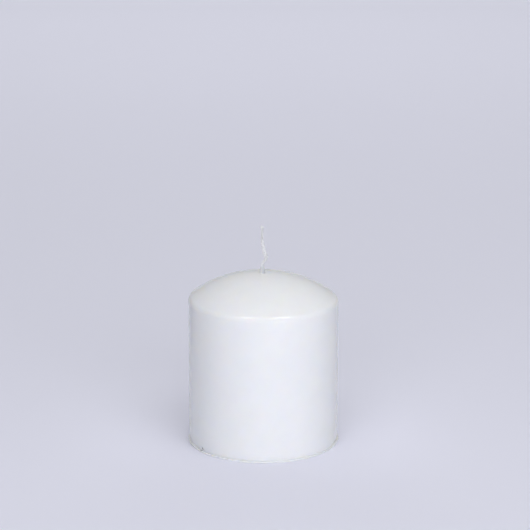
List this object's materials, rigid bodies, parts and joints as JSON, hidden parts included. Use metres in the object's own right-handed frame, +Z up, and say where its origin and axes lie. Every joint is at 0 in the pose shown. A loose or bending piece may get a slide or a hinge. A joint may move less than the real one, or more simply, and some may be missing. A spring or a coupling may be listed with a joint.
{
  "type": "pillar candle",
  "caption": "White dome-topped wax pillar candle with a plaited wick, stood on a table as the shared candle of a wedding ceremony.",
  "frame": {"origin": "on the candle's axis, in the plane of the base that it stands on", "axes": "+Z up the candle towards the wick; -Y is the front, from which the wick's kink shows to the right, along +X"},
  "size_m": [0.0768, 0.0768, 0.1125],
  "materials": {
    "pressed_wax": "matte pressed paraffin wax",
    "dipped_wax": "glossy dipped hard white wax",
    "tinned_steel": "bright tinned sheet",
    "waxed_cotton": "plaited cotton primed with wax"
  },
  "bodies": {
    "root": {"wax_core": "pressed_wax", "dip_coat": "dipped_wax", "wick_sustainer": "tinned_steel", "wick_strand_1": "waxed_cotton", "wick_strand_2": "waxed_cotton", "wick_strand_3": "waxed_cotton"}
  },
  "joints": []
}
